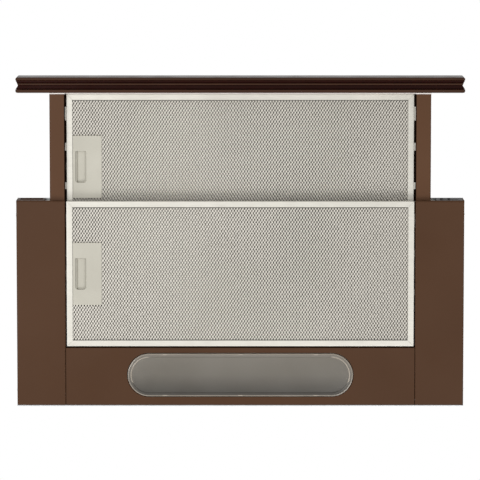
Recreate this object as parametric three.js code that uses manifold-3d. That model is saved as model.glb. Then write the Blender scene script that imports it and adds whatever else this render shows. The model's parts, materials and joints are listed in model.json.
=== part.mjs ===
// A slide-out range hood for a 60 cm wall cabinet, in millimetres, +Z up, front towards -Y.
// The origin is on the top of the deck plate, 20 mm behind the box's front edge and midway across.
// The drawer stands pulled out. Each sub-part is one closed solid with its own name.
import * as THREE from "three";
import { mergeVertices } from "three/addons/utils/BufferGeometryUtils.js";
import Module from "manifold-3d";

const wasm = await Module();
wasm.setup();

// ---------- driving dimensions ----------
const WIDTH = 598; // overall, for a 600 mm cabinet
const BOX_DEPTH = 277;
const BOX_HEIGHT = 38;
const SHEET = 1; // steel sheet
const BEAD = 0.8; // height of the deck's raised seats
const GAP = 0.3; // between neighbouring pieces
const FRONT_STRIP = 20; // deck in front of the origin

const TRIM_THICK = 20.5;
const TRIM_HEIGHT = 48;
const TRIM_WAIST = 2.9; // how far each trim end is hollowed
const DRAWER_REACH = 144; // from the box to the trim when fully out

const FILTER_WIDTH = 464.4;
const FILTER_DEPTH = 195.4;
const FILTER_THICK = 9;
const FILTER_BORDER = 8;
const MESH_THICK = 2.4;
const FIXED_FILTER_DROP = 0.5; // how far the fixed filter sits above the box's underside
const DRAWER_FILTER_RISE = 15; // from the fixed filter up to the drawer's filter

const HANDLE_WIDTH = 39;
const HANDLE_LENGTH = 84;
const POCKET_WIDTH = 14.4;
const POCKET_LENGTH = 42;
const POCKET_INSET = 3.4;
const LATCH_TRAVEL = 3.5;
const FINGER_RIB = 2;
const LATCH_REACH = 1.3; // bolt beyond the filter's edge, just short of the cover's lip

const RAIL_INNER = 235; // half distances from the middle
const RAIL_OUTER = 254.5;
const RAIL_BOTTOM = -30;
const RAIL_TOP = -9;
const RAIL_LENGTH = 254;

const COVER_INNER = 233.9; // inner edge of the side boxes' bottom covers
const COVER_LIP = 3.6; // height of their folded inner edge
const CAP_INNER = 262; // inner edge of the side boxes' front ends

const LAMP_PANEL_DEPTH = 77;
const LENS_LENGTH = 302;
const LENS_WIDTH = 57.8;
const LENS_FROM_REAR = 42; // lens centre from the rear face
const BULB_RADIUS = 12.5;

const HOUSING_HALF = 235;
const HOUSING_FRONT = 20;
const HOUSING_REAR = 250;
const HOUSING_HEIGHT = 137;
const COLLAR_Y = 135;
const COLLAR_OUTER = 59.5; // a 120 mm duct
const COLLAR_WALL = 2.5;
const COLLAR_HEIGHT = 28;
const FLAP_LEVEL = 150;
const FLAP_THICK = 1;

const FAN_Y = 88;
const FAN_Z = 73.5;
const FAN_RADIUS = 46;
const FAN_HALF_WIDTH = 44;
const FAN_BLADES = 22;
const SCROLL_START = 52; // scroll radius beside the cut-off
const SCROLL_GROWTH = 26; // added over its turn
const SCROLL_WALL = 2;
const MOTOR_RADIUS = 33;
const MOTOR_LENGTH = 48;
const SHAFT_RADIUS = 4;
const GLAND_X = -180; // cable gland on the housing's top
const GLAND_Y = 220;

// ---------- places worked out from them ----------
const HALF = WIDTH / 2;
const BOX_FRONT = -FRONT_STRIP;
const BOX_REAR = BOX_FRONT + BOX_DEPTH;
const BOX_BOTTOM = -BOX_HEIGHT;
const DECK_TOP = -BEAD;
const DECK_UNDER = DECK_TOP - SHEET;
const WALL_Y = BOX_REAR - SHEET - 0.2; // front face of the rear wall
const TRIM_REAR = BOX_FRONT - DRAWER_REACH;
const TRIM_FRONT = TRIM_REAR - TRIM_THICK;
const DRAWER_FRONT = TRIM_REAR + 2.3; // behind the front bar
const LAMP_FRONT = WALL_Y - GAP - LAMP_PANEL_DEPTH;
const LENS_Y = BOX_REAR - LENS_FROM_REAR;
const FIXED_Z = BOX_BOTTOM + FIXED_FILTER_DROP;
const DRAWER_Z = FIXED_Z + DRAWER_FILTER_RISE;
const FAN_OUT = FAN_HALF_WIDTH + 4; // inner face of the scroll's side walls

// ---------- finishes ----------
function finish(colour, roughness, metalness) {
  return new THREE.MeshStandardMaterial({ color: colour, roughness, metalness });
}
const brownPaint = finish(0x5a4438, 0.45, 0.3);
const brownGloss = finish(0x4a3020, 0.2, 0.0);
const galvanised = finish(0xa8aaab, 0.4, 0.9);
const paleAluminium = finish(0xe6e1d8, 0.45, 0.7);
const meshAluminium = finish(0xb9b3a8, 0.4, 0.8);
const handlePlastic = finish(0xbfbaae, 0.6, 0.0);
const blackPlastic = finish(0x1f1c1b, 0.5, 0.0);
const nylon = finish(0xd9d6cd, 0.5, 0.0);
const frosted = finish(0x9d978c, 0.35, 0.0);
const clearGlass = finish(0xe9e6dd, 0.1, 0.0);
const lampMetal = finish(0xc9c4b8, 0.3, 0.9);
const whiteEnamel = finish(0xe8e6e0, 0.35, 0.2);

// ---------- solids ----------
// A closed three.js geometry as a solid that can be joined and cut.
function solid(geometry, matrix) {
  const bare = geometry.index ? geometry.toNonIndexed() : geometry.clone();
  bare.deleteAttribute("normal");
  bare.deleteAttribute("uv");
  if (matrix) bare.applyMatrix4(matrix);
  const merged = mergeVertices(bare, 1e-4);
  return new wasm.Manifold(
    new wasm.Mesh({
      numProp: 3,
      vertProperties: new Float32Array(merged.attributes.position.array),
      triVerts: new Uint32Array(merged.index.array),
    }),
  );
}

function join(first, ...others) {
  return others.reduce((sum, other) => sum.add(other), first);
}

function cut(first, ...others) {
  return others.reduce((rest, other) => rest.subtract(other), first);
}

function box(x0, x1, y0, y1, z0, z1) {
  const geometry = new THREE.BoxGeometry(x1 - x0, y1 - y0, z1 - z0);
  geometry.translate((x0 + x1) / 2, (y0 + y1) / 2, (z0 + z1) / 2);
  return solid(geometry);
}

// The same box on the left (side -1) or on the right (side 1), from half distances.
function sideBox(side, inner, outer, y0, y1, z0, z1) {
  return side < 0 ? box(-outer, -inner, y0, y1, z0, z1) : box(inner, outer, y0, y1, z0, z1);
}

function extrude(shape, depth, segments = 12) {
  return new THREE.ExtrudeGeometry(shape, { depth, bevelEnabled: false, curveSegments: segments });
}

// An outline in X and Y, as a plate between two heights.
function plate(shape, z0, z1, segments) {
  return solid(extrude(shape, z1 - z0, segments), new THREE.Matrix4().makeTranslation(0, 0, z0));
}

// An outline in Y and Z, drawn out along X.
function alongX(shape, x0, x1, segments) {
  const turn = new THREE.Matrix4().makeBasis(
    new THREE.Vector3(0, 1, 0),
    new THREE.Vector3(0, 0, 1),
    new THREE.Vector3(1, 0, 0),
  );
  turn.setPosition(x0, 0, 0);
  return solid(extrude(shape, x1 - x0, segments), turn);
}

function outline(points) {
  return new THREE.Shape(points.map(([a, b]) => new THREE.Vector2(a, b)));
}

// A round bar along "x", "y" or "z" from a point on its axis.
function rod(axis, radius, length, x, y, z, segments = 32) {
  const geometry = new THREE.CylinderGeometry(radius, radius, length, segments);
  geometry.translate(0, length / 2, 0);
  if (axis === "x") geometry.rotateZ(-Math.PI / 2);
  if (axis === "z") geometry.rotateX(Math.PI / 2);
  geometry.translate(x, y, z);
  return solid(geometry);
}

// A closed profile of [radius, distance] points turned round an axis along "x" or "z".
function turned(axis, profile, x, y, z, segments = 40) {
  const points = profile.map(([r, d]) => new THREE.Vector2(r, d));
  const geometry = new THREE.LatheGeometry(points, segments);
  if (axis === "x") geometry.rotateZ(-Math.PI / 2);
  if (axis === "z") geometry.rotateX(Math.PI / 2);
  geometry.translate(x, y, z);
  return solid(geometry);
}

// A rounded slot outline, longer across X.
function stadium(length, width, y) {
  const r = width / 2;
  const straight = length / 2 - r;
  const shape = new THREE.Shape();
  shape.moveTo(-straight, y - r);
  shape.lineTo(straight, y - r);
  shape.absarc(straight, y, r, -Math.PI / 2, Math.PI / 2, false);
  shape.lineTo(-straight, y + r);
  shape.absarc(-straight, y, r, Math.PI / 2, (3 * Math.PI) / 2, false);
  return shape;
}

const hood = new THREE.Group();

function add(name, made, material) {
  const { vertProperties, triVerts, numProp } = made.getMesh();
  const positions = new Float32Array((vertProperties.length / numProp) * 3);
  for (let i = 0; i < positions.length / 3; i++) {
    for (let k = 0; k < 3; k++) positions[3 * i + k] = vertProperties[numProp * i + k];
  }
  const geometry = new THREE.BufferGeometry();
  geometry.setAttribute("position", new THREE.BufferAttribute(positions, 3));
  geometry.setIndex(new THREE.BufferAttribute(new Uint32Array(triVerts), 1));
  geometry.computeVertexNormals();
  const mesh = new THREE.Mesh(geometry, material);
  mesh.name = name;
  hood.add(mesh);
}

// ---------- the fixed box ----------
// The top of the low box, with the opening that lets air up into the motor housing,
// and raised seats along the front and sides that the cabinet's edges rest against.
function deckPlate() {
  const edge = HALF - SHEET - GAP;
  const seat = (x0, x1, y0, y1) => box(x0, x1, y0, y1, DECK_TOP - SHEET / 2, 0);
  return cut(
    join(
      box(-edge, edge, BOX_FRONT, WALL_Y - GAP, DECK_TOP - SHEET, DECK_TOP),
      seat(-edge + 2, edge - 2, -8, 6),
      seat(-edge + 2, -284, -8, 250),
      seat(284, edge - 2, -8, 250),
    ),
    box(-210, 210, 32, 236, DECK_TOP - 2 * SHEET, SHEET),
  );
}

// Outer wall and bottom cover in one folded sheet, with a lip along the inner edge
// that the filter's bolt and hooks rest on, and a short turned-up front edge.
function sideShell(side) {
  const end = WALL_Y - GAP;
  return join(
    sideBox(side, HALF - SHEET, HALF, BOX_FRONT, end, BOX_BOTTOM, 0),
    sideBox(side, COVER_INNER, HALF, BOX_FRONT, end, BOX_BOTTOM, BOX_BOTTOM + SHEET),
    sideBox(side, COVER_INNER, COVER_INNER + SHEET, BOX_FRONT, end, BOX_BOTTOM, BOX_BOTTOM + COVER_LIP + SHEET),
    sideBox(side, COVER_INNER, HALF, BOX_FRONT, BOX_FRONT + SHEET, BOX_BOTTOM, BOX_BOTTOM + 3),
  );
}

function rearWall() {
  return box(-HALF, HALF, WALL_Y, BOX_REAR, BOX_BOTTOM, 0);
}

// The underside behind the filter, with the lamp opening and a turned-up front edge.
function lampPanel() {
  const half = COVER_INNER - 0.4;
  return cut(
    join(
      box(-half, half, LAMP_FRONT, WALL_Y - GAP, BOX_BOTTOM, BOX_BOTTOM + SHEET),
      box(-half, half, LAMP_FRONT, LAMP_FRONT + SHEET, BOX_BOTTOM, -20),
    ),
    plate(stadium(LENS_LENGTH + 1.6, LENS_WIDTH + 1.6, LENS_Y), BOX_BOTTOM - 1, BOX_BOTTOM + 2),
  );
}

// The reflector: a tray open downwards over the lens.
function lampTray() {
  const bottom = BOX_BOTTOM + SHEET + GAP;
  return cut(
    box(-172, 172, LENS_Y - 32, LENS_Y + 35, bottom, DECK_UNDER - 1.2),
    box(-171.2, 171.2, LENS_Y - 31.2, LENS_Y + 34.2, bottom - 1, DECK_UNDER - 2),
  );
}

function lampHolder(side) {
  const profile = [[0, 0], [11, 0], [11, 22], [13, 22], [13, 30], [8, 30], [8, 6], [0, 6], [0, 0]];
  const made = turned("x", profile, 0, 0, 0, 24);
  return made.rotate([0, side > 0 ? 180 : 0, 0]).translate([side * 170, LENS_Y, -20]);
}

// A tubular screw-cap bulb, its cap inside the holder.
function bulb(side) {
  const profile = [[0, 0], [3, 0], [6.8, 3], [6.8, 22], [BULB_RADIUS, 28], [BULB_RADIUS, 74]];
  for (const turn of [30, 60]) {
    const a = THREE.MathUtils.degToRad(turn);
    profile.push([BULB_RADIUS * Math.cos(a), 74 + 8 * Math.sin(a)]);
  }
  profile.push([0, 82], [0, 0]);
  const made = turned("x", profile, 7, 0, 0, 24);
  return made.rotate([0, side > 0 ? 180 : 0, 0]).translate([side * 170, LENS_Y, -20]);
}

// The lens: a shallow cover with a rounded-slot outline and a wall that snaps into the panel.
function lens() {
  const face = plate(stadium(LENS_LENGTH, LENS_WIDTH, LENS_Y), BOX_BOTTOM - 1.6, BOX_BOTTOM + 0.4);
  const wall = cut(
    plate(stadium(LENS_LENGTH - 4, LENS_WIDTH - 4, LENS_Y), BOX_BOTTOM, BOX_BOTTOM + 5),
    plate(stadium(LENS_LENGTH - 8, LENS_WIDTH - 8, LENS_Y), BOX_BOTTOM + 0.2, BOX_BOTTOM + 6),
  );
  return join(face, wall);
}

// ---------- the side boxes' front ends ----------
const CAP_OUTER = HALF - SHEET - GAP;
const CAP_BOTTOM = BOX_BOTTOM + 3 + GAP;
const CAP_TOP = DECK_UNDER - GAP;

// A blank end with a window-like recess over its lower band.
function frontCap() {
  return cut(
    box(-CAP_OUTER, -CAP_INNER, BOX_FRONT, BOX_FRONT + 12, CAP_BOTTOM, CAP_TOP),
    box(-CAP_OUTER + 3, -CAP_INNER - 2, BOX_FRONT - 1, BOX_FRONT + 10, BOX_BOTTOM + 14, CAP_TOP - 2),
  );
}

const SLIDER_Z = -22.6;
const KNOB_REACH = 2;
const LIGHT_X = 269;
const LIGHT_TRAVEL = 5;
const SPEED_X = 279;
const SPEED_TRAVEL = 10;

function controlPanel() {
  const slot = (x, travel) =>
    box(x - 2.5, x + travel + 2.5, BOX_FRONT - 1, BOX_FRONT + 4, SLIDER_Z - 2.2, SLIDER_Z + 2.2);
  return cut(
    box(CAP_INNER, CAP_OUTER, BOX_FRONT, BOX_FRONT + 3, CAP_BOTTOM, CAP_TOP),
    slot(LIGHT_X, LIGHT_TRAVEL),
    slot(SPEED_X, SPEED_TRAVEL),
  );
}

// The switch's body, with a groove for the two sliders' feet.
function switchBlock() {
  return cut(
    box(CAP_INNER + 1, CAP_OUTER - 1, BOX_FRONT + 3 + GAP, BOX_FRONT + 34, CAP_BOTTOM + 1, CAP_TOP - 3),
    box(CAP_INNER + 2, CAP_OUTER - 2, BOX_FRONT + 3, BOX_FRONT + 8, SLIDER_Z - 3.4, SLIDER_Z + 3.4),
  );
}

function slider(x) {
  return join(
    box(x - 1.8, x + 1.8, BOX_FRONT - KNOB_REACH, BOX_FRONT + 6, SLIDER_Z - 1.6, SLIDER_Z + 1.6),
    box(x - 2.2, x + 2.2, BOX_FRONT + 4, BOX_FRONT + 6.5, SLIDER_Z - 2.8, SLIDER_Z + 2.8),
  );
}

// ---------- the drawer ----------
// A channel open inwards, so that the drawer's filter can sit in it.
function drawerRail(side) {
  const end = DRAWER_FRONT + RAIL_LENGTH;
  return join(
    sideBox(side, RAIL_INNER, RAIL_OUTER, DRAWER_FRONT, end, RAIL_BOTTOM, RAIL_BOTTOM + SHEET),
    sideBox(side, RAIL_OUTER - SHEET, RAIL_OUTER, DRAWER_FRONT, end, RAIL_BOTTOM, RAIL_TOP),
    sideBox(side, RAIL_INNER, RAIL_OUTER, DRAWER_FRONT, end, RAIL_TOP - SHEET, RAIL_TOP),
  );
}

// A nylon block inside the rail's rear end.
function railGlide(side) {
  const end = DRAWER_FRONT + RAIL_LENGTH;
  const top = RAIL_TOP - SHEET - GAP;
  const bottom = RAIL_BOTTOM + SHEET + GAP;
  return sideBox(side, RAIL_INNER + 2, RAIL_OUTER - SHEET - GAP, end - 14, end, bottom, top);
}

// The nylon channel in the side box that wraps the rail's outer side.
function railGuide(side) {
  const face = RAIL_OUTER + GAP;
  const start = BOX_FRONT + 2.5;
  const end = WALL_Y - 6;
  return join(
    sideBox(side, face, CAP_INNER - GAP, start, end, RAIL_BOTTOM - 2, RAIL_TOP + 2),
    sideBox(side, RAIL_OUTER - 6, CAP_INNER - GAP, start, end, RAIL_BOTTOM - 2, RAIL_BOTTOM - GAP),
    sideBox(side, RAIL_OUTER - 6, CAP_INNER - GAP, start, end, RAIL_TOP + GAP, RAIL_TOP + 2),
  );
}

// The cross bar that both rails and the trim are fixed to, cut away below
// so that it passes over the fixed filter.
function drawerFrontBar() {
  const front = TRIM_REAR + GAP;
  const rear = DRAWER_FRONT - GAP;
  const bottom = RAIL_BOTTOM - 3;
  return cut(
    box(-RAIL_OUTER, RAIL_OUTER, front, rear, bottom, RAIL_TOP + 4),
    box(-COVER_INNER, COVER_INNER, front - 1, rear + 1, bottom - 1, FIXED_Z + FILTER_THICK + 1),
  );
}

// The lid over the drawer, with a turned-down rear edge.
function drawerTopSheet() {
  const half = RAIL_OUTER - 7;
  const rear = DRAWER_FRONT + 198.3;
  return join(
    box(-half, half, DRAWER_FRONT, rear, RAIL_TOP + GAP, RAIL_TOP + GAP + 0.8),
    box(-COVER_INNER, COVER_INNER, rear - 0.8, rear, -18, RAIL_TOP + GAP + 0.8),
  );
}

// The moulded front: two grooves and a ridge underneath, hollow behind, waisted at both ends.
function frontTrim() {
  const bottom = BOX_BOTTOM;
  const top = bottom + TRIM_HEIGHT;
  const y = TRIM_FRONT;
  const section = outline([
    [y + 1.2, bottom + 0.6],
    [y + 3.6, bottom],
    [y + 4.4, bottom + 5],
    [y + 7.2, bottom + 5],
    [y + 7.9, bottom + 0.8],
    [y + 10.1, bottom + 0.8],
    [y + 10.8, bottom + 8],
    [y + 15.6, bottom + 8],
    [y + 16.3, bottom],
    [y + TRIM_THICK, bottom + 0.4],
    [y + TRIM_THICK, top - 1],
    [y + TRIM_THICK - 1, top],
    [y + 4, top],
    [y + 1, top - 2],
    [y, top - 6],
    [y, bottom + 3],
  ]);
  const hollowRadius = ((TRIM_THICK / 2 - 2) ** 2 + TRIM_WAIST ** 2) / (2 * TRIM_WAIST);
  const hollowX = HALF - TRIM_WAIST + hollowRadius;
  const hollowY = TRIM_FRONT + TRIM_THICK / 2;
  const hollow = (side) =>
    rod("z", hollowRadius, TRIM_HEIGHT + 2, side * hollowX, hollowY, bottom - 1, 48);
  return cut(
    alongX(section, -HALF, HALF),
    box(-HALF + 5, HALF - 5, TRIM_FRONT + 2.5, TRIM_REAR + 1, bottom + 11, top - 2.5),
    hollow(-1),
    hollow(1),
  );
}

// ---------- the two alike grease filters ----------
const HOOKS = [18, 68, 120]; // hooks' starts from the filter's front edge
const HOOK_LENGTHS = [19, 8, 10];
const BOLT_HALF = 5;

// A channel-shaped border with hooks on both sides and a slot for the bolt.
function filterFrame(front, bottom) {
  const half = FILTER_WIDTH / 2;
  const rear = front + FILTER_DEPTH;
  const middle = (front + rear) / 2;
  const inner = half - FILTER_BORDER;
  const top = bottom + FILTER_THICK;
  let frame = cut(
    box(-half, half, front, rear, bottom, top),
    box(-inner, inner, front + FILTER_BORDER, rear - FILTER_BORDER, bottom - 1, top + 1),
    // the channel's open inner side
    box(-half + 1, half - 1, front + 1, rear - 1, bottom + 1 + MESH_THICK + 1, top - 1),
  );
  for (const side of [-1, 1]) {
    HOOKS.forEach((start, i) => {
      const y = front + start;
      const inside = half - 0.5;
      const reach = half + (side > 0 ? 2.6 : 1.2);
      frame = join(frame, sideBox(side, inside, reach, y, y + HOOK_LENGTHS[i], bottom + 4.6, bottom + 5.8));
    });
  }
  return cut(
    frame,
    box(-half - 5, -inner + 1, middle - BOLT_HALF - 0.6, middle + BOLT_HALF + 0.6, bottom + 4.3, bottom + 6.8),
  );
}

function filterMesh(front, bottom) {
  const inner = FILTER_WIDTH / 2 - FILTER_BORDER - GAP;
  const y0 = front + FILTER_BORDER + GAP;
  const y1 = front + FILTER_DEPTH - FILTER_BORDER - GAP;
  const middle = (y0 + y1) / 2;
  const notch = HANDLE_LENGTH / 2 + GAP;
  return cut(
    box(-inner, inner, y0, y1, bottom + 0.8, bottom + 0.8 + MESH_THICK),
    box(-inner - 1, -inner + HANDLE_WIDTH + GAP, middle - notch, middle + notch, bottom, bottom + 5),
  );
}

// The handle plate with its finger pocket.
function filterHandle(front, bottom) {
  const x0 = -FILTER_WIDTH / 2 + FILTER_BORDER + GAP;
  const middle = front + FILTER_DEPTH / 2;
  const pocketX = x0 + POCKET_INSET;
  return cut(
    box(
      x0,
      x0 + HANDLE_WIDTH - GAP,
      middle - HANDLE_LENGTH / 2,
      middle + HANDLE_LENGTH / 2,
      bottom + 0.3,
      bottom + 4.2,
    ),
    box(
      pocketX,
      pocketX + POCKET_WIDTH,
      middle - POCKET_LENGTH / 2,
      middle + POCKET_LENGTH / 2,
      bottom - 1,
      bottom + 6,
    ),
  );
}

// The sprung latch: a plate over the pocket, a finger rib down into it and a bolt to the left.
function filterLatch(front, bottom) {
  const middle = front + FILTER_DEPTH / 2;
  const x0 = -FILTER_WIDTH / 2 + FILTER_BORDER + GAP;
  const z = bottom + 4.6;
  const rib = x0 + POCKET_INSET + GAP;
  const half = POCKET_LENGTH / 2 - GAP;
  const plateEnd = x0 + POCKET_INSET + POCKET_WIDTH + LATCH_TRAVEL + 2;
  return join(
    box(x0 + 0.5, plateEnd, middle - 25, middle + 25, z, z + 1.5),
    box(-FILTER_WIDTH / 2 - LATCH_REACH, x0 + 1, middle - BOLT_HALF, middle + BOLT_HALF, z, z + 1.5),
    box(rib, rib + FINGER_RIB, middle - half, middle + half, bottom + 1, z + 0.5),
  );
}

// ---------- the motor housing and the outlet ----------
function motorHousing() {
  const z0 = DECK_TOP + GAP;
  return cut(
    box(-HOUSING_HALF, HOUSING_HALF, HOUSING_FRONT, HOUSING_REAR, z0, HOUSING_HEIGHT),
    box(
      -HOUSING_HALF + SHEET,
      HOUSING_HALF - SHEET,
      HOUSING_FRONT + SHEET,
      HOUSING_REAR - SHEET,
      z0 - 1,
      HOUSING_HEIGHT - SHEET,
    ),
    rod("z", 55, 10, 0, COLLAR_Y, HOUSING_HEIGHT - 5, 40),
    rod("z", 6, 10, GLAND_X, GLAND_Y, HOUSING_HEIGHT - 5, 20),
  );
}

// The flat frame round the housing's foot that the housing and the deck are screwed to.
function housingFrame() {
  const z0 = DECK_TOP + GAP;
  const inner = HOUSING_HALF + GAP;
  return cut(
    box(-inner - 14, inner + 14, HOUSING_FRONT - 10, HOUSING_REAR + 5, z0, z0 + SHEET),
    box(-inner, inner, HOUSING_FRONT - GAP, HOUSING_REAR + GAP, z0 - 1, z0 + 2),
  );
}

// A flanged spigot with a ledge that the flaps shut against.
function outletCollar() {
  const z0 = HOUSING_HEIGHT + GAP;
  const inner = COLLAR_OUTER - COLLAR_WALL;
  const top = HOUSING_HEIGHT + COLLAR_HEIGHT + 2;
  const profile = [
    [inner, z0],
    [76, z0],
    [76, z0 + 2],
    [COLLAR_OUTER, z0 + 2],
    [COLLAR_OUTER, top],
    [inner, top],
    [inner, FLAP_LEVEL - 1.5],
    [inner - 3, FLAP_LEVEL - 1.5],
    [inner - 3, FLAP_LEVEL - 3],
    [inner, FLAP_LEVEL - 4.5],
    [inner, z0],
  ];
  return turned("z", profile, 0, COLLAR_Y, 0, 48);
}

function flapPin() {
  const reach = COLLAR_OUTER - COLLAR_WALL - GAP;
  return rod("x", 1.2, 2 * reach, -reach, COLLAR_Y, FLAP_LEVEL, 12);
}

// A half disc beside the pin; side -1 is the front flap.
function flap(side) {
  const radius = COLLAR_OUTER - COLLAR_WALL - 1.4;
  const edge = 2.2;
  const from = Math.asin(edge / radius);
  const shape = new THREE.Shape();
  shape.absarc(0, 0, radius, from, Math.PI - from, false);
  shape.closePath();
  const made = plate(shape, -FLAP_THICK / 2, FLAP_THICK / 2, 20);
  return made.rotate([0, 0, side < 0 ? 180 : 0]).translate([0, COLLAR_Y, FLAP_LEVEL]);
}

// ---------- the blower ----------
// The scroll's outline: a growing spiral that runs into a straight duct up to the outlet.
function scrollOutline(offset) {
  const points = [];
  const steps = 30;
  for (let i = 0; i <= steps; i++) {
    const share = i / steps;
    const angle = THREE.MathUtils.degToRad(62 + 298 * share);
    const radius = SCROLL_START + SCROLL_GROWTH * share + offset;
    points.push([FAN_Y + radius * Math.cos(angle), FAN_Z + radius * Math.sin(angle)]);
  }
  const top = HOUSING_HEIGHT - SHEET - GAP;
  points.push([FAN_Y + SCROLL_START + SCROLL_GROWTH + offset, top]);
  points.push([FAN_Y + SCROLL_START * Math.cos(THREE.MathUtils.degToRad(62)) - offset, top]);
  return outline(points);
}

// Spiral band and left wall in one moulding.
function scrollShell() {
  const left = -FAN_OUT - SCROLL_WALL;
  const top = HOUSING_HEIGHT - SHEET - GAP;
  return cut(
    alongX(scrollOutline(SCROLL_WALL), left, FAN_OUT),
    alongX(scrollOutline(0), -FAN_OUT, FAN_OUT + 1),
    rod("x", FAN_RADIUS - 6, 10, left - 4, FAN_Y, FAN_Z, 32),
    box(-FAN_OUT, FAN_OUT + 1, FAN_Y + 27, FAN_Y + SCROLL_START + SCROLL_GROWTH, top - 8, top + 1),
  );
}

function scrollCover() {
  return cut(
    alongX(scrollOutline(SCROLL_WALL), FAN_OUT + GAP, FAN_OUT + GAP + SCROLL_WALL),
    rod("x", FAN_RADIUS - 6, 10, FAN_OUT - 3, FAN_Y, FAN_Z, 32),
  );
}

// A drum of slanted blades between two end rings, on a middle disc with a hub.
function impeller() {
  const ring = (x) =>
    cut(
      rod("x", FAN_RADIUS, 2, x, FAN_Y, FAN_Z, 44),
      rod("x", FAN_RADIUS - 7, 6, x - 2, FAN_Y, FAN_Z, 44),
    );
  let made = join(
    rod("x", FAN_RADIUS, 2, -1, FAN_Y, FAN_Z, 44),
    rod("x", 9, 22, -11, FAN_Y, FAN_Z, 24),
    ring(-FAN_HALF_WIDTH),
    ring(FAN_HALF_WIDTH - 2),
  );
  for (let i = 0; i < FAN_BLADES; i++) {
    const blade = new THREE.BoxGeometry(2 * FAN_HALF_WIDTH, 1.2, 6.6);
    blade.rotateX(THREE.MathUtils.degToRad(28));
    blade.translate(0, 0, FAN_RADIUS - 3.9);
    blade.rotateX((2 * Math.PI * i) / FAN_BLADES);
    blade.translate(0, FAN_Y, FAN_Z);
    made = join(made, solid(blade));
  }
  return cut(made, rod("x", SHAFT_RADIUS + GAP, 30, -15, FAN_Y, FAN_Z, 20));
}

const MOTOR_FACE = -FAN_OUT - SCROLL_WALL - 4; // the motor's end towards the fan

function motorShaft() {
  const start = MOTOR_FACE - 8;
  return rod("x", SHAFT_RADIUS, 12 - start, start, FAN_Y, FAN_Z, 20);
}

function motorCase() {
  const r = MOTOR_RADIUS;
  const l = MOTOR_LENGTH;
  const profile = [[0, 0], [14, 0], [14, 4], [r - 4, 4], [r, 9], [r, l - 6], [r - 4, l]];
  profile.push([SHAFT_RADIUS + 0.6, l], [SHAFT_RADIUS + 0.6, l - 12], [0, l - 12], [0, 0]);
  return turned("x", profile, MOTOR_FACE - l, FAN_Y, FAN_Z, 36);
}

// Three arms from a ring round the motor's face out to the scroll's wall.
function motorBracket() {
  const x0 = MOTOR_FACE + GAP;
  const x1 = -FAN_OUT - SCROLL_WALL - GAP;
  let made = rod("x", 20, x1 - x0, x0, FAN_Y, FAN_Z, 32);
  for (let i = 0; i < 3; i++) {
    const arm = new THREE.BoxGeometry(x1 - x0, 9, 48);
    arm.translate((x0 + x1) / 2, 0, 26);
    arm.rotateX(THREE.MathUtils.degToRad(30 + 120 * i));
    arm.translate(0, FAN_Y, FAN_Z);
    made = join(made, solid(arm));
  }
  return cut(made, rod("x", 12, 12, x0 - 4, FAN_Y, FAN_Z, 24));
}

// ---------- electrical pieces ----------

function capacitor() {
  const profile = [[0, 0], [15, 0], [15, 52], [13, 55], [0, 55], [0, 0]];
  return turned("x", profile, 120, 60, 24, 28);
}

function terminalBox() {
  return join(box(-228, -180, 190, 246, 40, 66), box(-222, -186, 196, 240, 66, 70));
}

function cableGland() {
  const z = HOUSING_HEIGHT + GAP;
  const profile = [[3.6, z - 7], [5.5, z - 7], [5.5, z], [11, z], [11, z + 4], [8, z + 5], [8, z + 12]];
  profile.push([6, z + 15], [3.6, z + 15], [3.6, z - 7]);
  return turned("z", profile, GLAND_X, GLAND_Y, 0, 20);
}

function microswitch() {
  return box(CAP_INNER + 3, CAP_INNER + 12, 40, 60, -26, -14);
}

// ---------- cabinet fixings ----------
// An angle that stands on the deck, for screws into the cabinet's side panels.
function fixingBracket(side) {
  const outer = 281.7;
  const y0 = 60;
  const y1 = 130;
  let made = join(
    sideBox(side, 258, outer, y0, y1, DECK_TOP + GAP, DECK_TOP + GAP + 1.5),
    sideBox(side, outer - 1.5, outer, y0, y1, DECK_TOP + GAP, 40),
  );
  for (const y of [y0 + 16, y1 - 16]) {
    made = cut(made, rod("x", 2.6, 8, side * (outer - 1) - 4, y, 27, 16));
  }
  return made;
}

// ---------- assembly ----------
add("deck_plate", deckPlate(), galvanised);
add("rear_wall", rearWall(), galvanised);
add("lamp_panel", lampPanel(), brownPaint);
add("lamp_tray", lampTray(), whiteEnamel);
add("lens", lens(), frosted);
add("front_cap", frontCap(), brownPaint);
add("control_panel", controlPanel(), blackPlastic);
add("switch_block", switchBlock(), blackPlastic);
add("light_slider", slider(LIGHT_X), blackPlastic);
add("speed_slider", slider(SPEED_X), blackPlastic);
add("microswitch", microswitch(), blackPlastic);
add("front_trim", frontTrim(), brownGloss);
add("drawer_front_bar", drawerFrontBar(), paleAluminium);
add("drawer_top_sheet", drawerTopSheet(), brownPaint);
add("motor_housing", motorHousing(), galvanised);
add("housing_frame", housingFrame(), galvanised);
add("outlet_collar", outletCollar(), blackPlastic);
add("flap_pin", flapPin(), lampMetal);
add("flap_front", flap(-1), blackPlastic);
add("flap_rear", flap(1), blackPlastic);
add("scroll_shell", scrollShell(), blackPlastic);
add("scroll_cover", scrollCover(), blackPlastic);
add("impeller", impeller(), handlePlastic);
add("motor_shaft", motorShaft(), lampMetal);
add("motor_case", motorCase(), galvanised);
add("motor_bracket", motorBracket(), galvanised);
add("capacitor", capacitor(), handlePlastic);
add("terminal_box", terminalBox(), whiteEnamel);
add("cable_gland", cableGland(), blackPlastic);

for (const [word, side] of [["left", -1], ["right", 1]]) {
  add(`side_shell_${word}`, sideShell(side), brownPaint);
  add(`lamp_holder_${word}`, lampHolder(side), whiteEnamel);
  add(`bulb_${word}`, bulb(side), clearGlass);
  add(`rail_guide_${word}`, railGuide(side), nylon);
  add(`drawer_rail_${word}`, drawerRail(side), brownPaint);
  add(`rail_glide_${word}`, railGlide(side), nylon);
  add(`fixing_bracket_${word}`, fixingBracket(side), galvanised);
}

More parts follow.
